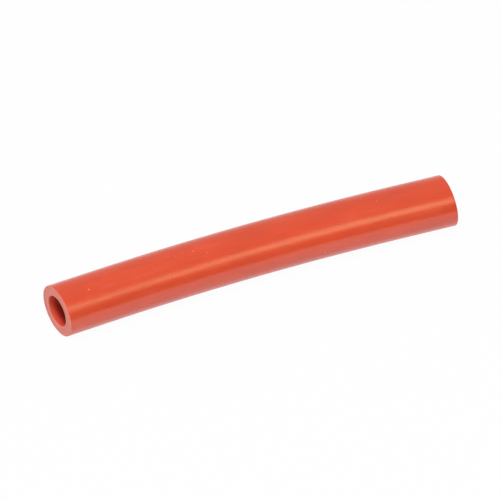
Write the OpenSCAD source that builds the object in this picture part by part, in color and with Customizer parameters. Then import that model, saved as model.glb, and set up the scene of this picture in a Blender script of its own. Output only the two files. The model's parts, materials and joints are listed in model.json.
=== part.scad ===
// A short length of thick-walled silicone rubber tube, cut by hand from a coil.
//
// Each end runs straight for the depth of a spigot, and the stretch between keeps the coil's curve.
// The tube lies on its side on z = 0, with its chord along X and its curve bulging towards +Y.
// The near end is the one at -X. The origin is the bottom centre of the bounding box.
// Sizes are in millimetres and angles in degrees.

/* [Tube] */
// Inside diameter, which is that of the spigots that the tube pushes onto
bore_d = 6; // [3:0.5:16]
// Thickness of the rubber wall
wall = 2; // [0.5:0.25:5]
// Length of the cut piece, measured along its centreline
length = 80; // [60:1:250]

/* [Curve] */
// Radius of the curve that the rubber keeps from its coil, at the centreline
coil_radius = 490; // [150:10:2000]
// Straight stretch at each end, as deep as a spigot goes in
straight_end = 10; // [5:1:20]

/* [Cuts] */
// Near cut: how far it is swung sideways from square, positive where the +Y side is cut longer
near_swing = 4; // [-8:0.5:8]
// Near cut: how far it leans over from square, positive where the top is cut longer
near_lean = 2.5; // [-8:0.5:8]
// Far cut: how far it is swung sideways from square, positive where the +Y side is cut shorter
far_swing = 2; // [-8:0.5:8]
// Far cut: how far it leans over from square, positive where the top is cut shorter
far_lean = 5; // [-8:0.5:8]

/* [Hidden] */

round_steps = 96;                  // facets round the tube in a preview
arc_steps = 24;                    // facets along its curve in a preview
rubber = "#e4502e";

NEAR = -1;
FAR = 1;

od = bore_d + 2 * wall;
spare = od / 2;                    // stock left past the middle of each cut, for the cut to take off
overlap = 0.01;                    // how far each half of the bar runs over the middle, so that they join
half_turn = (length / 2 - straight_end) / coil_radius * 180 / PI;

// Points of the far half of the centreline, from its middle. The near half mirrors them in x.
bend_end = coil_radius * [sin(half_turn), cos(half_turn) - 1];
cut_middle = bend_end + straight_end * [cos(half_turn), -sin(half_turn)];

// The frame of an end has X along the tube towards the far end, Y across it and Z up.
function heading(end) = -end * half_turn;

// How far a cut's rim reaches from its middle, along a level direction given in the end's frame
function rim_reach(direction, swing, lean) =
    od / 2 * norm([direction.y - direction.x * tan(swing), direction.x * tan(lean) / cos(swing)]);
function reach_x(end, swing, lean) =
    rim_reach([cos(heading(end)), -sin(heading(end))], swing, lean);
function reach_y(end, swing, lean) =
    rim_reach([sin(heading(end)), cos(heading(end))], swing, lean);

// Bounding box in plan, measured from the middle of the centreline
min_x = -cut_middle.x - reach_x(NEAR, near_swing, near_lean);
max_x = cut_middle.x + reach_x(FAR, far_swing, far_lean);
min_y = cut_middle.y - max(reach_y(NEAR, near_swing, near_lean), reach_y(FAR, far_swing, far_lean));
max_y = od / 2;

// The far half of a round bar along the centreline, which runs on past the middle of the cut.
// Its curve starts well before the middle of the bar and is trimmed near there to a flat face.
module half_bar(r, past) {
    lap = 2 * od;
    bend = half_turn + lap / coil_radius * 180 / PI;
    difference() {
        translate([bend_end.x, bend_end.y, 0])
            rotate([0, 0, heading(FAR)]) {
                rotate([0, 90, 0])
                    cylinder(r = r, h = straight_end + past, $fn = round_steps);
                translate([0, -coil_radius, 0])
                    rotate_extrude(start = 90, angle = bend, $fn = arc_steps * 360 / bend)
                        translate([coil_radius, 0])
                            circle(r, $fn = round_steps);
            }
        translate([-2 * lap - overlap, -lap, -lap])
            cube(2 * lap);
    }
}

// A round bar along the whole centreline: two halves joined in the middle
module bar(r, past) {
    half_bar(r, past);
    mirror([1, 0, 0])
        half_bar(r, past);
}

// The block of waste beyond the cut at an end
module waste(end, swing, lean) {
    block = 4 * od;
    translate([end * cut_middle.x, cut_middle.y, 0])
        rotate([0, -lean, heading(end) + swing])
            translate([end * block / 2, 0, 0])
                cube(block, center = true);
}

module tube()
    color(rubber)
        translate([-(min_x + max_x) / 2, -(min_y + max_y) / 2, od / 2])
            difference() {
                bar(od / 2, spare);
                bar(bore_d / 2, 2 * spare);
                waste(NEAR, near_swing, near_lean);
                waste(FAR, far_swing, far_lean);
            }

tube();
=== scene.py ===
"""A short length of silicone rubber tube, cut by hand from a coil, on a white studio table.

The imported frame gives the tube's two diameters, its straight ends, its bend and the middles of its
two cuts. One node tree sweeps the wall round the bore, marks it as the die and the blade did, slants
its cuts and lays it along the centreline. A second tree scatters crumbs of rubber on its skin.
Sizes are in metres unless a name says otherwise. The near end is the one at -X.
"""

import json
import math

import bpy
from bpy.props import FloatProperty, FloatVectorProperty, IntProperty, PointerProperty
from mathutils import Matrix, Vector


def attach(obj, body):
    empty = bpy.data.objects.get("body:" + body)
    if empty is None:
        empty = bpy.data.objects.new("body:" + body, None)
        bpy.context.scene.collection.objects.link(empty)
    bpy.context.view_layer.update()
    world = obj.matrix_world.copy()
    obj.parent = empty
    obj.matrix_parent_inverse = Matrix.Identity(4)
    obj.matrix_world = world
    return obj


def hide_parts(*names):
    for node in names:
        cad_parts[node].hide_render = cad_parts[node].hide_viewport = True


bl_info = {
    "name": "Silicone rubber tube",
    "version": (1, 0, 0),
    "blender": (4, 5, 0),
    "location": "3D View > Sidebar > Tube",
    "description": "A hand-cut length of extruded silicone rubber tube and a studio to show it in",
    "category": "Add Mesh",
}

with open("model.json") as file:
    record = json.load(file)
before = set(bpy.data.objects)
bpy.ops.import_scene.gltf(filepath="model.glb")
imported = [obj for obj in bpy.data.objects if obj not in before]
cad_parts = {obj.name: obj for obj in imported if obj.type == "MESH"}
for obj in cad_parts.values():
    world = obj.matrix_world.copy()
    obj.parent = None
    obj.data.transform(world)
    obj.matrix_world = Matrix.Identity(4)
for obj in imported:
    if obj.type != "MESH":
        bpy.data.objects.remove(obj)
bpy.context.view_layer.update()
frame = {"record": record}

MM = 0.001
PER_SQUARE_CM = 1e4
NODE = "tube"
BODY = "root"

# What the frame's mounts say of the tube
mounts = {mount["name"]: mount for mount in frame["record"]["mounts"]}
near_cut = Vector(mounts["near_bore"]["pos_m"])
far_cut = Vector(mounts["far_bore"]["pos_m"])
outward = Vector(mounts["near_bore"]["axis"])
half_turn = math.atan2(-outward.y, -outward.x)
bore_radius = mounts["near_bore"]["dims"]["r_mm"] * MM
outside_radius = mounts["near_outside"]["dims"]["r_mm"] * MM
straight_end = mounts["near_bore"]["dims"]["length_mm"] * MM
half_chord = (far_cut.x - near_cut.x) / 2
coil_radius = (half_chord - straight_end * math.cos(half_turn)) / math.sin(half_turn)
tube_length = 2 * (straight_end + coil_radius * half_turn)
bow = coil_radius * (1 - math.cos(half_turn)) + straight_end * math.sin(half_turn)
tube_middle = (near_cut + far_cut) / 2 + Vector((0, bow, 0))

CENTRELINE_STEPS = 128

# Crumbs that sit where they can be seen: station from the middle in mm, angle round the tube in
# degrees from +Y over the top, and width in mm
PLACED_CRUMBS = [
    (-34.5, 116, 0.40),
    (-12.5, 104, 0.30),
    (-16.1, 104, 0.16),
    (-10.1, 117, 0.16),
    (14.1, 76, 0.16),
    (22.8, 81, 0.20),
    (13.0, 193, 0.20),
]
SUNK_SHARE = 0.2             # how far such a crumb's middle lies under the skin, in its widths

# The widths of the other crumbs, which are scattered
SMALLEST_CRUMB = 0.06 * MM
LARGEST_CRUMB = 0.18 * MM
CRUMB_SEED = 11


# ---------------------------------------------------------------- settings


class TubeSizes(bpy.types.PropertyGroup):
    """Sizes of the tube, of its two cuts and of the marks on it"""

    length: FloatProperty(
        name="Length", description="Length along the centreline",
        default=tube_length, min=30 * MM, unit="LENGTH")
    outside_radius: FloatProperty(
        name="Outside radius", description="Radius of the skin",
        default=outside_radius, min=1 * MM, unit="LENGTH")
    bore_radius: FloatProperty(
        name="Bore radius", description="Radius of the bore",
        default=bore_radius, min=0.5 * MM, unit="LENGTH")
    coil_radius: FloatProperty(
        name="Coil radius", description="Radius of the curve between the straight ends",
        default=coil_radius, min=100 * MM, unit="LENGTH")
    straight_end: FloatProperty(
        name="Straight end", description="Length at each end that has no curve",
        default=straight_end, min=1 * MM, unit="LENGTH")
    edge_radius: FloatProperty(
        name="Edge radius", description="Rounding of the edges that the blade left",
        default=0.14 * MM, min=0, unit="LENGTH")
    near_swing: FloatProperty(
        name="Near swing", description="How far the near cut is swung sideways from square",
        default=math.radians(4), subtype="ANGLE")
    near_lean: FloatProperty(
        name="Near lean", description="How far the near cut leans over from square",
        default=math.radians(2.5), subtype="ANGLE")
    far_swing: FloatProperty(
        name="Far swing", description="How far the far cut is swung sideways from square",
        default=math.radians(2), subtype="ANGLE")
    far_lean: FloatProperty(
        name="Far lean", description="How far the far cut leans over from square",
        default=math.radians(5), subtype="ANGLE")
    waviness: FloatProperty(
        name="Waviness", description="How far the skin swells and narrows as it left the die",
        default=0.05 * MM, min=0, unit="LENGTH")
    die_lines: FloatProperty(
        name="Die lines", description="Height of the fine ridges that run the tube's whole length",
        default=0.004 * MM, min=0, unit="LENGTH")
    dish: FloatProperty(
        name="Dish", description="How deep the middle of the wall is hollowed at a cut",
        default=0.07 * MM, min=0, unit="LENGTH")
    blade_marks: FloatProperty(
        name="Blade marks", description="Height of the ridges that the blade left on a cut",
        default=0.03 * MM, min=0, unit="LENGTH")
    crumb_density: IntProperty(
        name="Crumb density", description="Crumbs scattered on each square centimetre of skin",
        default=1, min=0)


class RubberFinish(bpy.types.PropertyGroup):
    """Colours and gloss of the rubber"""

    skin: FloatVectorProperty(
        name="Skin", description="Colour of the outside", subtype="COLOR",
        default=(0.77, 0.078, 0.026), min=0, max=1)
    cut: FloatVectorProperty(
        name="Cut faces", description="Colour of the two matt cut faces", subtype="COLOR",
        default=(0.79, 0.178, 0.124), min=0, max=1)
    # Painted shade: the inside is lighter at its mouths and painted darker further in, where light
    # hardly reaches
    bore_mouth: FloatVectorProperty(
        name="Bore mouths", description="Colour of the inside at its two mouths", subtype="COLOR",
        default=(0.82, 0.10, 0.055), min=0, max=1)
    bore: FloatVectorProperty(
        name="Bore", description="Colour of the inside further in", subtype="COLOR",
        default=(0.50, 0.032, 0.018), min=0, max=1)
    bloom: FloatVectorProperty(
        name="Bloom", description="Colour of the powdery film on the rubber", subtype="COLOR",
        default=(0.95, 0.86, 0.84), min=0, max=1)
    roughness: FloatProperty(
        name="Roughness", description="Roughness of the skin",
        default=0.24, min=0, max=1, subtype="FACTOR")
    grain: FloatProperty(
        name="Grain", description="Height of the fine grain of the skin, against its mottle",
        default=0.5, min=0)
    scuffing: FloatProperty(
        name="Scuffing", description="Height of the same grain where the near end is scuffed",
        default=4.0, min=0)


class StudioSettings(bpy.types.PropertyGroup):
    """Camera, lamps and table"""

    azimuth: FloatProperty(
        name="Azimuth", description="Camera's turn round the tube; 0 looks along +Y",
        default=math.radians(-25), subtype="ANGLE")
    elevation: FloatProperty(
        name="Elevation", description="Camera's height above the horizon",
        default=math.radians(37.5), subtype="ANGLE")
    distance: FloatProperty(
        name="Distance", description="From the camera to the point that it looks at",
        default=1.012, min=0.1, unit="LENGTH")
    lens: FloatProperty(
        name="Lens", description="Focal length in millimetres, on a sensor 36 mm wide",
        default=391.9, min=10)
    aim_right: FloatProperty(
        name="Aim right", description="How far right of the tube's middle the camera looks",
        default=-0.218 * MM, unit="LENGTH")
    aim_up: FloatProperty(
        name="Aim up", description="How far above the tube's middle the camera looks",
        default=0.104 * MM, unit="LENGTH")
    walls: FloatProperty(
        name="Walls", description="Light from the tent's low sides, where 1 is white",
        default=0.64, min=0)
    overhead: FloatProperty(
        name="Overhead", description="Light from the tent's top, where 1 is white",
        default=0.40, min=0)
    brow: FloatProperty(
        name="Brow", description="Light from the front edge of the tent's top, where 1 is white",
        default=0.29, min=0)
    doorway: FloatProperty(
        name="Doorway", description="Light from the tent's open front, where 1 is white",
        default=0.30, min=0)
    strip_light: FloatProperty(
        name="Strip light", description="Brightness of the lamp that draws the highlight",
        default=3.05, min=0)
    top_light: FloatProperty(
        name="Top light", description="Brightness of the small lamp above",
        default=30.2, min=0)
    side_light: FloatProperty(
        name="Side light", description="Brightness of the lamp on the near cut's side",
        default=0.6, min=0)
    table_glow: FloatProperty(
        name="Table glow", description="Share of the table's white that takes no shadow",
        default=0.97, min=0, max=1, subtype="FACTOR")


# ---------------------------------------------------------------- node trees


class Field:
    """A number or a vector that a node tree works out. Arithmetic on one adds Math nodes."""

    def __init__(self, socket):
        self.socket = socket
        self.tree = socket.id_data

    def __add__(self, other):
        return calculate("ADD", self, other)

    def __sub__(self, other):
        return calculate("SUBTRACT", self, other)

    def __rsub__(self, other):
        return calculate("SUBTRACT", other, self)

    def __mul__(self, other):
        return calculate("MULTIPLY", self, other)

    def __truediv__(self, other):
        return calculate("DIVIDE", self, other)

    def __gt__(self, other):
        return calculate("GREATER_THAN", self, other)

    def __lt__(self, other):
        return calculate("LESS_THAN", self, other)

    __radd__ = __add__
    __rmul__ = __mul__


def feed(socket, value):
    """Links a field to an input, or sets the input to a plain value."""
    if isinstance(value, Field):
        value.tree.links.new(value.socket, socket)
    else:
        socket.default_value = value


def feed_all(node, inputs):
    """Feeds inputs of a node by name or by number."""
    for key, value in inputs.items():
        feed(node.inputs[key], value)


def add_node(tree, kind, inputs=None, **settings):
    """Adds a node, makes its settings and feeds its inputs."""
    node = tree.nodes.new(kind)
    for name, value in settings.items():
        setattr(node, name, value)
    feed_all(node, inputs or {})
    return node


def field(tree, kind, output=0, inputs=None, **settings):
    """Adds a node and gives one of its outputs."""
    return Field(add_node(tree, kind, inputs, **settings).outputs[output])


def calculate(operation, *values):
    """A Math node on the values, at least one of which is a field."""
    tree = next(value.tree for value in values if isinstance(value, Field))
    return field(tree, "ShaderNodeMath", inputs=dict(enumerate(values)), operation=operation)


def combine(tree, x, y, z):
    """A vector of three numbers."""
    return field(tree, "ShaderNodeCombineXYZ", inputs={"X": x, "Y": y, "Z": z})


def separate(vector):
    """The three numbers of a vector."""
    node = add_node(vector.tree, "ShaderNodeSeparateXYZ", {"Vector": vector})
    return [Field(output) for output in node.outputs]


def scaled(vector, factor):
    """A vector times a number."""
    return field(
        vector.tree, "ShaderNodeVectorMath", inputs={0: vector, "Scale": factor}, operation="SCALE")


def fit(value, low, high, to_low=0.0, to_high=1.0, ease="LINEAR"):
    """A number carried from one range to another and kept inside it."""
    inputs = {
        "Value": value,
        "From Min": low,
        "From Max": high,
        "To Min": to_low,
        "To Max": to_high,
    }
    return field(value.tree, "ShaderNodeMapRange", inputs=inputs, interpolation_type=ease)


def noise(place, scale=1.0, detail=2.0, roughness=0.5):
    """Smooth random numbers round 0, from about -0.5 to 0.5, at a place."""
    inputs = {"Vector": place, "Scale": scale, "Detail": detail, "Roughness": roughness}
    return field(place.tree, "ShaderNodeTexNoise", inputs=inputs) - 0.5


def stretched(place, along, across):
    """A place on the straight tube, scaled along it and across it so that a pattern draws out."""
    x, y, z = separate(place)
    return combine(place.tree, x * along, y * across, z * across)


# How fast the blade's marks change along its drag and across it, for each metre in Y and in Z
ALONG_DRAG = (500, 90)
ACROSS_DRAG = (-400, 2600)


def dragged(place, shift=0.0):
    """A place on a cut, skewed so that a pattern draws out the way the blade went.

    Places with unlike shifts have unlike patterns.
    """
    _, y, z = separate(place)
    along = y * ALONG_DRAG[0] + z * ALONG_DRAG[1]
    across = y * ACROSS_DRAG[0] + z * ACROSS_DRAG[1]
    return combine(place.tree, shift, along, across)


# ---------------------------------------------------------------- geometry trees


def new_tree(name, inputs):
    """An empty geometry tree with one geometry in and out and these named inputs, and its inputs."""
    tree = bpy.data.node_groups.new(name, "GeometryNodeTree")
    tree.is_modifier = True
    tree.interface.new_socket("Geometry", in_out="INPUT", socket_type="NodeSocketGeometry")
    tree.interface.new_socket("Geometry", in_out="OUTPUT", socket_type="NodeSocketGeometry")
    for label, kind in inputs.items():
        tree.interface.new_socket(label, in_out="INPUT", socket_type=kind)
    group_input = tree.nodes.new("NodeGroupInput")
    given = {output.name: Field(output) for output in group_input.outputs if output.name}
    return tree, given


def close_tree(tree, geometry, paints):
    """Realizes what the tree made, gives it its materials and sends it out.

    A paint is a material and which faces it goes on, where True is all of them.
    """
    geometry = field(tree, "GeometryNodeRealizeInstances", inputs={"Geometry": geometry})
    for material, faces in paints:
        inputs = {"Geometry": geometry, "Selection": faces, "Material": material}
        geometry = field(tree, "GeometryNodeSetMaterial", inputs=inputs)
    add_node(tree, "NodeGroupOutput", {"Geometry": geometry})


def store(geometry, name, value, kind="FLOAT"):
    """Keeps a value at each point of a geometry under a name."""
    inputs = {"Geometry": geometry, "Name": name, "Value": value}
    return field(
        geometry.tree, "GeometryNodeStoreNamedAttribute", inputs=inputs, data_type=kind, domain="POINT")


def recall(tree, name, kind="FLOAT"):
    """The value kept under a name."""
    return field(tree, "GeometryNodeInputNamedAttribute", inputs={"Name": name}, data_type=kind)


def random_number(tree, low, high, seed):
    """A random number for each point, between two."""
    # The node's sockets for numbers come after those for vectors
    inputs = {2: low, 3: high, "Seed": seed}
    return field(tree, "FunctionNodeRandomValue", output=1, inputs=inputs, data_type="FLOAT")


def random_vector(tree, low, high, seed):
    """A random vector for each point, between two."""
    inputs = {0: low, 1: high, "Seed": seed}
    return field(tree, "FunctionNodeRandomValue", output=0, inputs=inputs, data_type="FLOAT_VECTOR")


def grown(name, base, tree, inputs):
    """A plain mesh object of what the tree makes from a base mesh and these inputs."""
    carrier = bpy.data.objects.new(name + "_carrier", base)
    bpy.context.scene.collection.objects.link(carrier)
    modifier = carrier.modifiers.new("grow", "NODES")
    modifier.node_group = tree
    for item in tree.interface.items_tree:
        if item.in_out == "INPUT" and item.name in inputs:
            modifier[item.identifier] = inputs[item.name]
    bpy.context.view_layer.update()
    depsgraph = bpy.context.evaluated_depsgraph_get()
    mesh = bpy.data.meshes.new_from_object(carrier.evaluated_get(depsgraph), depsgraph=depsgraph)
    bpy.data.objects.remove(carrier)
    if not mesh.polygons:
        raise RuntimeError(f"the tree {tree.name} made no faces for {name}")
    # The base mesh may leave an empty material slot
    for index in reversed(range(len(mesh.materials))):
        if mesh.materials[index] is None:
            mesh.materials.pop(index=index)
    mesh.name = name
    made = bpy.data.objects.new(name, mesh)
    bpy.context.scene.collection.objects.link(made)
    return made


# ---------------------------------------------------------------- the tube's tree

TUBE_INPUTS = {
    "Centreline": "NodeSocketObject",
    "Length": "NodeSocketFloat",
    "Outside Radius": "NodeSocketFloat",
    "Bore Radius": "NodeSocketFloat",
    "Straight End": "NodeSocketFloat",
    "Edge Radius": "NodeSocketFloat",
    "Near Swing": "NodeSocketFloat",
    "Near Lean": "NodeSocketFloat",
    "Far Swing": "NodeSocketFloat",
    "Far Lean": "NodeSocketFloat",
    "Waviness": "NodeSocketFloat",
    "Die Lines": "NodeSocketFloat",
    "Dish": "NodeSocketFloat",
    "Blade Marks": "NodeSocketFloat",
    "Skin": "NodeSocketMaterial",
    "Cut Faces": "NodeSocketMaterial",
    "Bore": "NodeSocketMaterial",
}

ROUND_STEPS = 144
EDGE_STEPS = 4
FINE_SPACING = 0.25 * MM     # between the mesh's rings on the skin, and its points across a cut
BORE_SPACING = 0.8 * MM      # between its rings in the bore

# Blotches of a pattern in a metre, along the tube and across it
SWELLS = (60, 90)
DIE_LINES = (4, 1400)

# Blotches of the torn spots on a cut in a metre, and their height in that of the blade's ridges
TEARS = 450
TEAR_HEIGHT = 2

# Shifts that set the marks of the two cuts apart
RIDGE_SHIFT = 3
TEAR_SHIFT = 7


def mid_wall(given):
    """From the centreline to the middle of the wall."""
    return (given["Outside Radius"] + given["Bore Radius"]) / 2


def from_cut(tree, given):
    """How far a point of the straight tube lies from its nearer end."""
    return given["Length"] / 2 - calculate("ABSOLUTE", recall(tree, "station"))


def gap_to_next(tree):
    """From each point of a curve to the next one along it."""
    here = field(tree, "GeometryNodeInputPosition")
    following = field(tree, "GeometryNodeOffsetPointInCurve", output="Point Index", inputs={"Offset": 1})
    there = field(
        tree, "GeometryNodeFieldAtIndex", inputs={"Value": here, "Index": following},
        data_type="FLOAT_VECTOR")
    return field(
        tree, "ShaderNodeVectorMath", output="Value", inputs={0: here, 1: there}, operation="DISTANCE")


def wall_profile(tree, given):
    """The wall as it shows when the tube is split lengthwise: a long rectangle with round corners.

    Its X is the station along the tube from the middle, and its Y the height from mid-wall.
    Each point keeps its station and its reach from the centreline.
    """
    wall = given["Outside Radius"] - given["Bore Radius"]
    rectangle = field(
        tree, "GeometryNodeCurvePrimitiveQuadrilateral",
        inputs={"Width": given["Length"], "Height": wall})
    corners = {
        "Curve": rectangle,
        "Radius": given["Edge Radius"],
        "Count": EDGE_STEPS,
        "Limit Radius": True,
    }
    rounded = field(tree, "GeometryNodeFilletCurve", inputs=corners, mode="POLY")

    # Points stand wide apart along the bore and close together everywhere else
    gap = gap_to_next(tree)
    lengthwise = gap > wall
    in_bore = separate(field(tree, "GeometryNodeInputPosition"))[1] < 0
    spacing = FINE_SPACING + (BORE_SPACING - FINE_SPACING) * lengthwise * in_bore
    cuts = calculate("FLOOR", gap / spacing)
    split = field(tree, "GeometryNodeSubdivideCurve", inputs={"Curve": rounded, "Cuts": cuts})

    station, height, _ = separate(field(tree, "GeometryNodeInputPosition"))
    profile = store(split, "station", station)
    return store(profile, "reach", height + mid_wall(given))


def swept_wall(tree, given, profile):
    """The profile swept once round, each point keeping how far round it is."""
    ring = field(
        tree, "GeometryNodeCurvePrimitiveCircle",
        inputs={"Resolution": ROUND_STEPS, "Radius": given["Outside Radius"]})
    share = field(tree, "GeometryNodeSplineParameter", output="Factor")
    ring = store(ring, "around", share * math.tau)
    return field(tree, "GeometryNodeCurveToMesh", inputs={"Curve": ring, "Profile Curve": profile})


def marked_wall(tree, given, place):
    """Station and reach with the marks of the die on the skin and of the blade on the cuts."""
    station = recall(tree, "station")
    reach = recall(tree, "reach")
    swell = noise(stretched(place, *SWELLS), detail=1) * given["Waviness"]
    lines = noise(stretched(place, *DIE_LINES), detail=2) * given["Die Lines"]

    half_wall = (given["Outside Radius"] - given["Bore Radius"]) / 2
    off_mid_wall = (reach - mid_wall(given)) / half_wall
    hollow = (1 - off_mid_wall * off_mid_wall) * given["Dish"]

    end = calculate("SIGN", station)
    ridges = noise(dragged(place, end * RIDGE_SHIFT), detail=3) * given["Blade Marks"]
    _, y, z = separate(place)
    spots = combine(tree, end * TEAR_SHIFT, y * TEARS, z * TEARS)
    tears = noise(spots, detail=1) * given["Blade Marks"] * TEAR_HEIGHT
    on_face = fit(from_cut(tree, given), given["Edge Radius"], 0, ease="SMOOTHSTEP")
    return station - end * on_face * (hollow + ridges + tears), reach + swell + lines


def slanted(tree, given, station, y, z):
    """The station moved so that each end's face leans and swings as its cut does."""
    far = station > 0
    swing = given["Near Swing"] + (given["Far Swing"] - given["Near Swing"]) * far
    lean = given["Near Lean"] + (given["Far Lean"] - given["Near Lean"]) * far
    slope_y = calculate("TANGENT", swing)
    slope_z = calculate("TANGENT", lean) / calculate("COSINE", swing)
    share = fit(from_cut(tree, given), given["Straight End"], given["Edge Radius"])
    return station - (y * slope_y + z * slope_z) * share


def laid_along(tree, given, station, y, z):
    """The place in the room of a point of the straight tube, once it lies along the centreline.

    The centreline is level, so the tube's up stays up. Past its ends it goes straight on.
    """
    centreline = field(
        tree, "GeometryNodeObjectInfo", output="Geometry", inputs={"Object": given["Centreline"]})
    from_near = station + given["Length"] / 2
    kept = calculate("MINIMUM", calculate("MAXIMUM", from_near, 0), given["Length"])
    sample = add_node(
        tree, "GeometryNodeSampleCurve", {"Curves": centreline, "Length": kept},
        mode="LENGTH", use_all_curves=True)
    middle_x, middle_y, middle_z = separate(Field(sample.outputs["Position"]))
    ahead_x, ahead_y, _ = separate(Field(sample.outputs["Tangent"]))
    run = from_near - kept
    return combine(
        tree,
        middle_x + ahead_x * run - ahead_y * y,
        middle_y + ahead_y * run + ahead_x * y,
        middle_z + z)


def tube_paints(tree, given):
    """The skin's material all over, then the bore's and the cuts' on their own faces.

    A cut's material ends halfway over its rounded edges.
    """
    in_bore = recall(tree, "reach") < mid_wall(given)
    on_cut = from_cut(tree, given) < given["Edge Radius"] / 2
    return [(given["Skin"], True), (given["Bore"], in_bore), (given["Cut Faces"], on_cut)]


def tube_tree():
    """The node tree that makes the whole tube."""
    tree, given = new_tree("extruded_tube", TUBE_INPUTS)
    mesh = swept_wall(tree, given, wall_profile(tree, given))

    around = recall(tree, "around")
    side = calculate("COSINE", around)
    rise = calculate("SINE", around)
    reach = recall(tree, "reach")
    place = combine(tree, recall(tree, "station"), side * reach, rise * reach)
    mesh = store(mesh, "straight", place, kind="FLOAT_VECTOR")

    # The materials read the straight place as well
    place = recall(tree, "straight", kind="FLOAT_VECTOR")
    station, reach = marked_wall(tree, given, place)
    y = side * reach
    z = rise * reach
    station = slanted(tree, given, station, y, z)
    position = laid_along(tree, given, station, y, z)
    mesh = field(tree, "GeometryNodeSetPosition", inputs={"Geometry": mesh, "Position": position})
    mesh = field(tree, "GeometryNodeSetShadeSmooth", inputs={"Geometry": mesh, "Shade Smooth": True})
    close_tree(tree, mesh, tube_paints(tree, given))
    return tree


# ---------------------------------------------------------------- the crumbs' tree

CRUMB_INPUTS = {
    "Tube": "NodeSocketObject",
    "Outside Radius": "NodeSocketFloat",
    "Density": "NodeSocketFloat",
    "Smallest": "NodeSocketFloat",
    "Largest": "NodeSocketFloat",
    "Seed": "NodeSocketInt",
    "Rubber": "NodeSocketMaterial",
}

# In outside radii: how far out a point of the skin is at least, and how high the lowest crumb sits
SKIN_REACH = 0.999
LOWEST_CRUMB = 0.3

# Least and most of a crumb's three sides, in its widths
SLIMMEST = (0.6, 0.7, 0.8)
STOUTEST = (1.1, 1.0, 1.2)

# Lumps of a crumb in a metre, and their height
LUMPS = 5000
LUMP_HEIGHT = 0.06 * MM


def crumb_points(tree, given):
    """The points that come in, and more scattered over the skin. Each keeps its crumb's width."""
    tube = field(tree, "GeometryNodeObjectInfo", output="Geometry", inputs={"Object": given["Tube"]})
    radius = given["Outside Radius"]
    height = separate(field(tree, "GeometryNodeInputPosition"))[2]
    on_skin = (recall(tree, "reach") > radius * SKIN_REACH) * (height > radius * LOWEST_CRUMB)
    scattered = field(
        tree, "GeometryNodeDistributePointsOnFaces",
        inputs={"Mesh": tube, "Selection": on_skin, "Density": given["Density"], "Seed": given["Seed"]})
    width = random_number(tree, given["Smallest"], given["Largest"], given["Seed"])
    scattered = store(scattered, "width", width)

    placed = field(tree, "GeometryNodeMeshToPoints", inputs={"Mesh": given["Geometry"]})
    points = add_node(tree, "GeometryNodeJoinGeometry")
    for cloud in (scattered, placed):
        feed(points.inputs[0], cloud)
    return Field(points.outputs[0])


def crumb_tree():
    """Crumbs on the points that come in, and more of them scattered over the skin of the tube."""
    tree, given = new_tree("rubber_crumbs", CRUMB_INPUTS)
    points = crumb_points(tree, given)
    # A ball one metre wide, which each point scales down to its crumb's width
    ball = field(tree, "GeometryNodeMeshIcoSphere", inputs={"Radius": 0.5, "Subdivisions": 3})
    tumble = random_vector(tree, (0, 0, 0), (math.tau, math.tau, math.tau), given["Seed"])
    sides = random_vector(tree, SLIMMEST, STOUTEST, given["Seed"] + 1)
    size = scaled(sides, recall(tree, "width"))
    crumbs = field(
        tree, "GeometryNodeInstanceOnPoints",
        inputs={"Points": points, "Instance": ball, "Rotation": tumble, "Scale": size})
    crumbs = field(tree, "GeometryNodeRealizeInstances", inputs={"Geometry": crumbs})

    # Now that they are one mesh, each crumb gets lumps of its own
    lump = noise(field(tree, "GeometryNodeInputPosition"), LUMPS, detail=1)
    offset = scaled(field(tree, "GeometryNodeInputNormal"), lump * LUMP_HEIGHT)
    crumbs = field(tree, "GeometryNodeSetPosition", inputs={"Geometry": crumbs, "Offset": offset})
    close_tree(tree, crumbs, [(given["Rubber"], True)])
    return tree


# ---------------------------------------------------------------- materials

# How strongly each surface bends light. The skin's is above the rubber's own, which gives its edges
# their strong shine.
RUBBER_IOR = 1.41
SKIN_IOR = 1.68
CRUMB_IOR = 1.5

# Blotches of a pattern in a metre, along the tube and across it
MOTTLE = (90, 260)
STREAKS = (40, 900)
CUT_PATCHES = (50, 500)
BORE_LINES = (20, 1800)

# Blotches of an even pattern in a metre
SKIN_GRAIN = 3000
CUT_GRAIN = 9000
BORE_CLOUDS = 400
CRUMB_DUST = 6000

# Height of the bumps, from bottom to top, of a pattern that runs from -0.5 to 0.5
SKIN_BUMPS = 0.008 * MM
CUT_BUMPS = 0.02 * MM
BORE_BUMPS = 0.01 * MM

# Roughness where no setting gives it
CUT_ROUGHNESS = 0.72
BORE_ROUGHNESS = 0.42
CRUMB_ROUGHNESS = 0.35

# How far light soaks in, and the shares of that for its red, green and blue
SKIN_SOAK = 0.5 * MM
SKIN_SOAK_COLOURS = (1.0, 0.25, 0.12)
CUT_SOAK = 1.0 * MM
CUT_SOAK_COLOURS = (1.0, 0.3, 0.2)

# The share of the bloom's colour where it lies thickest
THICKEST_BLOOM = 0.03

# The scuffs fade out over a length from the near cut, and where they do so wanders
SCUFFED_LENGTH = 16 * MM
SCUFF_WANDER = 8 * MM

# Painted shade in the bore: its pale mouth starts to darken at one depth, is darkest at the next, and
# both wander
MOUTH_DEPTH = 0.4 * MM
SHADED_DEPTH = 2.0 * MM
MOUTH_WANDER = 0.6 * MM


def emptied(owner):
    """The node tree of a material or a world, with nothing in it."""
    owner.use_nodes = True
    owner.node_tree.nodes.clear()
    return owner.node_tree


def surface_material(name):
    """A material with a Principled shader alone, with its tree and that shader."""
    material = bpy.data.materials.new(name)
    tree = emptied(material)
    shader = add_node(tree, "ShaderNodeBsdfPrincipled")
    add_node(tree, "ShaderNodeOutputMaterial", {"Surface": Field(shader.outputs[0])})
    return material, tree, shader


def mixed(share, first, second):
    """A colour between two, by share."""
    # A Mix node has its two colours at 6 and 7
    inputs = {0: share, 6: first, 7: second}
    return field(share.tree, "ShaderNodeMix", output=2, inputs=inputs, data_type="RGBA")


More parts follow.
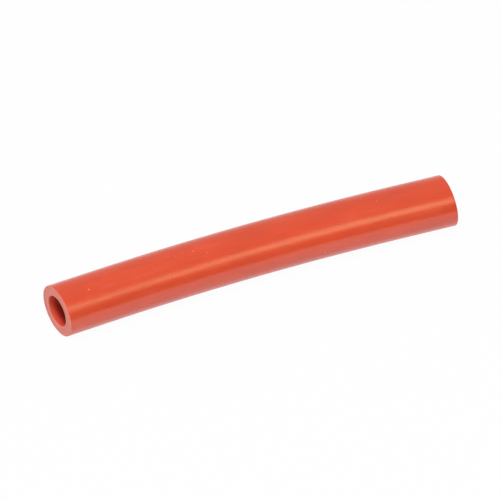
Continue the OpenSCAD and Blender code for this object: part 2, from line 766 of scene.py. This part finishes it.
def opaque(colour, gain=1.0):
    """A colour property as the four numbers that a socket takes, made lighter or darker by a gain."""
    return (*[min(1.0, part * gain) for part in colour], 1.0)


def shaded(pattern, usual, colour, darkest, lightest):
    """A colour that a pattern darkens and lightens, as it goes from -usual to usual."""
    return mixed(fit(pattern, -usual, usual), opaque(colour, darkest), opaque(colour, lightest))


def bumped(height, distance):
    """Bumps as high as a pattern says, times a distance."""
    return field(height.tree, "ShaderNodeBump", inputs={"Height": height, "Distance": distance})


def straight_place(tree):
    """Each point's place on the tube before it was bent, so that marks run along it."""
    return field(tree, "ShaderNodeAttribute", output="Vector", attribute_name="straight")


def skin_material(finish, sizes):
    """The satin outside: faintly mottled, drawn out lengthwise by the die, with a thin pale bloom.

    Fine scuffs dull the end that was held for the cut.
    """
    material, tree, shader = surface_material("silicone_skin")
    place = straight_place(tree)
    mottle = noise(stretched(place, *MOTTLE), detail=4, roughness=0.6)
    streaks = noise(stretched(place, *STREAKS), detail=2)
    grain = noise(place, SKIN_GRAIN, detail=2, roughness=0.6)

    clean = shaded(mottle, usual=0.16, colour=finish.skin, darkest=0.95, lightest=1.05)
    bloom = fit(streaks + mottle, low=0.05, high=0.4, to_high=THICKEST_BLOOM)
    from_near = separate(place)[0] + sizes.length / 2 + mottle * SCUFF_WANDER
    grain_height = fit(
        from_near, 0, SCUFFED_LENGTH, finish.scuffing, finish.grain, ease="SMOOTHSTEP")
    feed_all(shader, {
        "Base Color": mixed(bloom, clean, opaque(finish.bloom)),
        "Roughness": finish.roughness + mottle * 0.06 + streaks * 0.02,
        "Normal": bumped(mottle * 1.6 + streaks * 0.15 + grain * grain_height, SKIN_BUMPS),
        "IOR": SKIN_IOR,
        "Subsurface Weight": 0.08,
        "Subsurface Radius": SKIN_SOAK_COLOURS,
        "Subsurface Scale": SKIN_SOAK,
    })
    return material


def cut_material(finish):
    """The matt, paler face that a blade leaves, with its drag across it. Light soaks into it."""
    material, tree, shader = surface_material("silicone_cut")
    place = straight_place(tree)
    streaks = noise(dragged(place), detail=4, roughness=0.6)
    patches = noise(stretched(place, *CUT_PATCHES), detail=3)
    grain = noise(place, CUT_GRAIN, detail=3, roughness=0.7)

    feed_all(shader, {
        "Base Color": shaded(
            streaks + patches, usual=0.3, colour=finish.cut, darkest=0.92, lightest=1.08),
        "Roughness": CUT_ROUGHNESS + streaks * 0.2,
        "Normal": bumped(streaks * 0.6 + grain, CUT_BUMPS),
        "IOR": RUBBER_IOR,
        "Subsurface Weight": 0.6,
        "Subsurface Radius": CUT_SOAK_COLOURS,
        "Subsurface Scale": CUT_SOAK,
        "Sheen Weight": 0.4,
        "Sheen Roughness": 0.5,
        "Sheen Tint": opaque(finish.bloom),
    })
    return material


def bore_material(finish, sizes):
    """The inside, smooth from the die's mandrel, with fine lines along it and painted shade deeper in.
    """
    material, tree, shader = surface_material("silicone_bore")
    place = straight_place(tree)
    lines = noise(stretched(place, *BORE_LINES), detail=3, roughness=0.6)
    clouds = noise(place, BORE_CLOUDS, detail=3)

    depth = sizes.length / 2 - calculate("ABSOLUTE", separate(place)[0])
    wandering = depth + (clouds + lines * 0.5) * MOUTH_WANDER
    # Painted shade: 0 at the pale mouths, 1 where the inside is painted darkest
    painted_bore_shade = fit(wandering, MOUTH_DEPTH, SHADED_DEPTH, ease="SMOOTHSTEP")
    feed_all(shader, {
        "Base Color": mixed(painted_bore_shade, opaque(finish.bore_mouth), opaque(finish.bore)),
        "Roughness": BORE_ROUGHNESS + lines * 0.15,
        "Normal": bumped(lines, BORE_BUMPS),
        "IOR": RUBBER_IOR,
    })
    return material


def crumb_material(finish):
    """Crumbs of the same rubber, pale with dust, and lighter than the skin as a painted glint."""
    material, tree, shader = surface_material("silicone_crumb")
    place = field(tree, "ShaderNodeTexCoord", output="Object")
    dust_and_glint = fit(noise(place, CRUMB_DUST), low=-0.2, high=0.2, to_low=0.05, to_high=0.3)
    feed_all(shader, {
        # Rubber lighter than the skin, mixed with the bloom: partly dust, partly a painted glint
        "Base Color": mixed(dust_and_glint, opaque(finish.skin, gain=1.3), opaque(finish.bloom)),
        "Roughness": CRUMB_ROUGHNESS,
        "IOR": CRUMB_IOR,
    })
    return material


# ---------------------------------------------------------------- pieces


def centreline_points(sizes):
    """Evenly spaced points along the middle of the bore, from the near cut to the far one."""
    bent = sizes.length / 2 - sizes.straight_end
    points = []
    for step in range(CENTRELINE_STEPS + 1):
        station = sizes.length * (step / CENTRELINE_STEPS - 0.5)
        on_bend = max(-bent, min(bent, station))
        turn = on_bend / sizes.coil_radius
        run = station - on_bend
        x = sizes.coil_radius * math.sin(turn) + run * math.cos(turn)
        y = sizes.coil_radius * (math.cos(turn) - 1) - run * math.sin(turn)
        points.append(tube_middle + Vector((x, y, 0)))
    return points


def centreline_curve(points):
    """The centreline as a curve object for the tube's tree to follow."""
    curve = bpy.data.curves.new("centreline", "CURVE")
    curve.dimensions = "3D"
    spline = curve.splines.new("POLY")
    spline.points.add(len(points) - 1)
    for knot, point in zip(spline.points, points):
        knot.co = (*point, 1)
    guide = bpy.data.objects.new("centreline", curve)
    bpy.context.scene.collection.objects.link(guide)
    return guide


def place_on_skin(sizes, station, angle, sunk):
    """The point of the skin at a station and an angle round the tube, a little below its surface."""
    points = centreline_points(sizes)
    share = (station / sizes.length + 0.5) * CENTRELINE_STEPS
    step = min(CENTRELINE_STEPS - 1, int(share))
    middle = points[step].lerp(points[step + 1], share - step)
    ahead = (points[step + 1] - points[step]).normalized()
    side = Vector((-ahead.y, ahead.x, 0))
    out = side * math.cos(angle) + Vector((0, 0, 1)) * math.sin(angle)
    return middle + out * (sizes.outside_radius - sunk)


def placed_crumbs(sizes):
    """A mesh of loose points, one for each placed crumb, that keep their crumbs' widths."""
    places = []
    widths = []
    for station, degrees, width in PLACED_CRUMBS:
        sunk = width * MM * SUNK_SHARE
        places.append(place_on_skin(sizes, station * MM, math.radians(degrees), sunk))
        widths.append(width * MM)
    mesh = bpy.data.meshes.new("placed_crumbs")
    mesh.from_pydata(places, [], [])
    mesh.attributes.new("width", "FLOAT", "POINT").data.foreach_set("value", widths)
    return mesh


class OBJECT_OT_silicone_tube(bpy.types.Operator):
    """Make the tube along the frame's centreline, with its two hand-made cuts"""

    bl_idname = "object.silicone_tube"
    bl_label = "Tube"

    def execute(self, context):
        sizes = context.scene.tube_sizes
        finish = context.scene.rubber_finish
        if sizes.bore_radius + 2 * sizes.edge_radius >= sizes.outside_radius:
            raise RuntimeError("the tube's wall is too thin for its rounded edges")
        points = centreline_points(sizes)
        guide = centreline_curve(points)
        inputs = {
            "Centreline": guide,
            "Length": sizes.length,
            "Outside Radius": sizes.outside_radius,
            "Bore Radius": sizes.bore_radius,
            "Straight End": sizes.straight_end,
            "Edge Radius": sizes.edge_radius,
            "Near Swing": sizes.near_swing,
            "Near Lean": sizes.near_lean,
            "Far Swing": sizes.far_swing,
            "Far Lean": sizes.far_lean,
            "Waviness": sizes.waviness,
            "Die Lines": sizes.die_lines,
            "Dish": sizes.dish,
            "Blade Marks": sizes.blade_marks,
            "Skin": skin_material(finish, sizes),
            "Cut Faces": cut_material(finish),
            "Bore": bore_material(finish, sizes),
        }
        tube = grown("silicone_tube", bpy.data.meshes.new("blank"), tube_tree(), inputs)
        bpy.data.objects.remove(guide)
        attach(tube, BODY)
        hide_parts(NODE)
        return {"FINISHED"}


class OBJECT_OT_rubber_crumbs(bpy.types.Operator):
    """Scatter crumbs of rubber over the skin of the tube"""

    bl_idname = "object.rubber_crumbs"
    bl_label = "Crumbs"

    def execute(self, context):
        sizes = context.scene.tube_sizes
        tube = bpy.data.objects.get("silicone_tube")
        if tube is None:
            raise RuntimeError("make the tube before its crumbs")
        inputs = {
            "Tube": tube,
            "Outside Radius": sizes.outside_radius,
            "Density": sizes.crumb_density * PER_SQUARE_CM,
            "Smallest": SMALLEST_CRUMB,
            "Largest": LARGEST_CRUMB,
            "Seed": CRUMB_SEED,
            "Rubber": crumb_material(context.scene.rubber_finish),
        }
        crumbs = grown("rubber_crumbs", placed_crumbs(sizes), crumb_tree(), inputs)
        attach(crumbs, BODY)
        return {"FINISHED"}


# ---------------------------------------------------------------- stage

TABLE_WIDTH = 6.0
TABLE_COLOUR = (0.80, 0.80, 0.80, 1.0)
WHITE = (1.0, 1.0, 1.0, 1.0)
BLACK = (0.0, 0.0, 0.0, 1.0)

# The strip light: which way it lies from the tube, how far, how large and what tint
STRIP_DIRECTION = Vector((0.24, -0.806, 0.54))
STRIP_DISTANCE = 0.70
STRIP_WIDTH = 0.18
STRIP_HEIGHT = 0.24
STRIP_TINT = (0.96, 0.94, 0.53)

# The lamp overhead, which leaves no highlight
TOP_DIRECTION = Vector((-0.22, -0.32, 0.92))
TOP_DISTANCE = 1.0
TOP_WIDTH = 0.25

# The side light, which shines on the near cut
SIDE_DIRECTION = Vector((-0.85, -0.35, 0.40))
SIDE_DISTANCE = 0.8
SIDE_WIDTH = 0.3

# Which way the tent's open front lies from the tube, and how far towards it a direction points where
# the low walls begin to darken and where they are darkest, and the same for the tent's top
DOOR_DIRECTION = Vector((0.34, -0.94, 0))
DOOR_EDGE = (0.55, 0.9)
BROW_EDGE = (0.0, 0.45)

# How far up a direction points where the walls begin to turn into the top, and where they have
ROOF_EDGE = (0.2, 0.6)

# The low black flag before the tube, which only gloss sees, and which parts the highlight of the
# strip light from that of the table
FLAG_DISTANCE = 25 * MM
FLAG_WIDTH = 0.4
FLAG_HEIGHT = 12 * MM

SENSOR_WIDTH_MM = 36
CLIP_START = 0.01
CLIP_END = 20


def light_tent(studio):
    """The surroundings: a white tent that is open, and darker, at its front."""
    world = bpy.data.worlds.new("light_tent")
    tree = emptied(world)
    x, y, z = separate(field(tree, "ShaderNodeTexCoord", output="Generated"))
    towards_door = x * DOOR_DIRECTION.x + y * DOOR_DIRECTION.y
    low = fit(towards_door, *DOOR_EDGE, studio.walls, studio.doorway, ease="SMOOTHSTEP")
    high = fit(towards_door, *BROW_EDGE, studio.overhead, studio.brow, ease="SMOOTHSTEP")
    strength = fit(z, *ROOF_EDGE, low, high, ease="SMOOTHSTEP")
    lit = field(tree, "ShaderNodeBackground", inputs={"Color": WHITE, "Strength": strength})
    add_node(tree, "ShaderNodeOutputWorld", {"Surface": lit})
    return world


def seen_directly(tree):
    """1 for rays from the camera, off a gloss or through glass, and 0 for those that only light."""
    path = add_node(tree, "ShaderNodeLightPath")
    camera_ray = Field(path.outputs["Is Camera Ray"])
    glossy_ray = Field(path.outputs["Is Glossy Ray"])
    glass_ray = Field(path.outputs["Is Transmission Ray"])
    return calculate("MAXIMUM", calculate("MAXIMUM", camera_ray, glossy_ray), glass_ray)


def table_material(glow):
    """A matt white table, part of whose white takes no shadow."""
    material = bpy.data.materials.new("white_table")
    tree = emptied(material)
    matt = field(tree, "ShaderNodeBsdfDiffuse", inputs={"Color": TABLE_COLOUR})
    white = field(tree, "ShaderNodeEmission", inputs={"Color": WHITE, "Strength": 1.0})
    shown = field(
        tree, "ShaderNodeMixShader", inputs={0: seen_directly(tree) * glow, 1: matt, 2: white})
    add_node(tree, "ShaderNodeOutputMaterial", {"Surface": shown})
    return material


def flag_material():
    """A black that reflects nothing."""
    material = bpy.data.materials.new("black_flag")
    tree = emptied(material)
    black = field(tree, "ShaderNodeBsdfDiffuse", inputs={"Color": BLACK})
    add_node(tree, "ShaderNodeOutputMaterial", {"Surface": black})
    return material


def sheet(name, corners, material):
    """One flat four-cornered piece of the stage."""
    mesh = bpy.data.meshes.new(name)
    mesh.from_pydata(corners, [], [(0, 1, 2, 3)])
    mesh.materials.append(material)
    made = bpy.data.objects.new(name, mesh)
    bpy.context.scene.collection.objects.link(made)
    return made


def table(material):
    """A wide level table under the tube."""
    half = TABLE_WIDTH / 2
    corners = [(-half, -half, 0), (half, -half, 0), (half, half, 0), (-half, half, 0)]
    return sheet("table", corners, material)


def flag(material):
    """A low black card that stands before the tube, hidden from all but gloss."""
    left, right = -FLAG_WIDTH / 2, FLAG_WIDTH / 2
    y = tube_middle.y - FLAG_DISTANCE
    corners = [(left, y, 0), (right, y, 0), (right, y, FLAG_HEIGHT), (left, y, FLAG_HEIGHT)]
    card = sheet("flag", corners, material)
    card.visible_camera = False
    card.visible_diffuse = False
    card.visible_shadow = False
    return card


def panel_light(name, towards, distance, width, height, brightness, tint=(1, 1, 1)):
    """A rectangular lamp that faces the tube's middle. Brightness is its radiance: white paper is 1."""
    lamp = bpy.data.lights.new(name, "AREA")
    lamp.shape = "RECTANGLE"
    lamp.size = width
    lamp.size_y = height
    lamp.color = tint
    lamp.energy = brightness * math.pi * width * height
    holder = bpy.data.objects.new(name, lamp)
    towards = towards.normalized()
    holder.location = tube_middle + towards * distance
    holder.rotation_euler = towards.to_track_quat("Z", "Y").to_euler()
    bpy.context.scene.collection.objects.link(holder)
    return holder


def camera(studio):
    """A long-lensed camera that looks almost at the tube's middle."""
    azimuth, elevation = studio.azimuth, studio.elevation
    back = Vector((
        math.sin(azimuth) * math.cos(elevation),
        -math.cos(azimuth) * math.cos(elevation),
        math.sin(elevation)))
    right = Vector((math.cos(azimuth), math.sin(azimuth), 0))
    up = back.cross(right)
    aim = tube_middle + right * studio.aim_right + up * studio.aim_up
    settings = bpy.data.cameras.new("camera")
    settings.sensor_width = SENSOR_WIDTH_MM
    settings.lens = studio.lens
    settings.clip_start = CLIP_START
    settings.clip_end = CLIP_END
    holder = bpy.data.objects.new("camera", settings)
    holder.location = aim + back * studio.distance
    holder.rotation_euler = (-back).to_track_quat("-Z", "Y").to_euler()
    bpy.context.scene.collection.objects.link(holder)
    return holder


class SCENE_OT_tube_studio(bpy.types.Operator):
    """Set up the white table, the light tent, the lamps and the camera"""

    bl_idname = "scene.tube_studio"
    bl_label = "Studio"

    def execute(self, context):
        studio = context.scene.tube_studio
        scene = context.scene
        scene.world = light_tent(studio)
        scene.view_settings.view_transform = "Standard"
        table(table_material(studio.table_glow))
        flag(flag_material())
        panel_light(
            "strip_light", STRIP_DIRECTION, STRIP_DISTANCE, STRIP_WIDTH, STRIP_HEIGHT,
            studio.strip_light, STRIP_TINT)
        top = panel_light(
            "top_light", TOP_DIRECTION, TOP_DISTANCE, TOP_WIDTH, TOP_WIDTH, studio.top_light)
        top.visible_glossy = False
        panel_light(
            "side_light", SIDE_DIRECTION, SIDE_DISTANCE, SIDE_WIDTH, SIDE_WIDTH, studio.side_light)
        scene.camera = camera(studio)
        return {"FINISHED"}


# ---------------------------------------------------------------- add-on


class VIEW3D_PT_silicone_tube(bpy.types.Panel):
    """Buttons for the studio, the tube and its crumbs, and all their settings"""

    bl_label = "Silicone rubber tube"
    bl_space_type = "VIEW_3D"
    bl_region_type = "UI"
    bl_category = "Tube"

    def draw(self, context):
        scene = context.scene
        for operator in ("scene.tube_studio", "object.silicone_tube", "object.rubber_crumbs"):
            self.layout.operator(operator)
        for title, settings in (
            ("Studio", scene.tube_studio),
            ("Sizes", scene.tube_sizes),
            ("Finish", scene.rubber_finish),
        ):
            box = self.layout.box()
            box.label(text=title)
            for name in settings.__annotations__:
                box.prop(settings, name)


CLASSES = (
    TubeSizes,
    RubberFinish,
    StudioSettings,
    OBJECT_OT_silicone_tube,
    OBJECT_OT_rubber_crumbs,
    SCENE_OT_tube_studio,
    VIEW3D_PT_silicone_tube,
)


def register():
    """Registers the classes and gives every scene its settings."""
    for item in CLASSES:
        bpy.utils.register_class(item)
    bpy.types.Scene.tube_sizes = PointerProperty(type=TubeSizes)
    bpy.types.Scene.rubber_finish = PointerProperty(type=RubberFinish)
    bpy.types.Scene.tube_studio = PointerProperty(type=StudioSettings)


def unregister():
    """Takes the settings and the classes away again."""
    del bpy.types.Scene.tube_studio
    del bpy.types.Scene.rubber_finish
    del bpy.types.Scene.tube_sizes
    for item in reversed(CLASSES):
        bpy.utils.unregister_class(item)


def main():
    """Makes everything."""
    register()
    bpy.ops.scene.tube_studio()
    bpy.ops.object.silicone_tube()
    bpy.ops.object.rubber_crumbs()


if __name__ == "__main__":
    main()
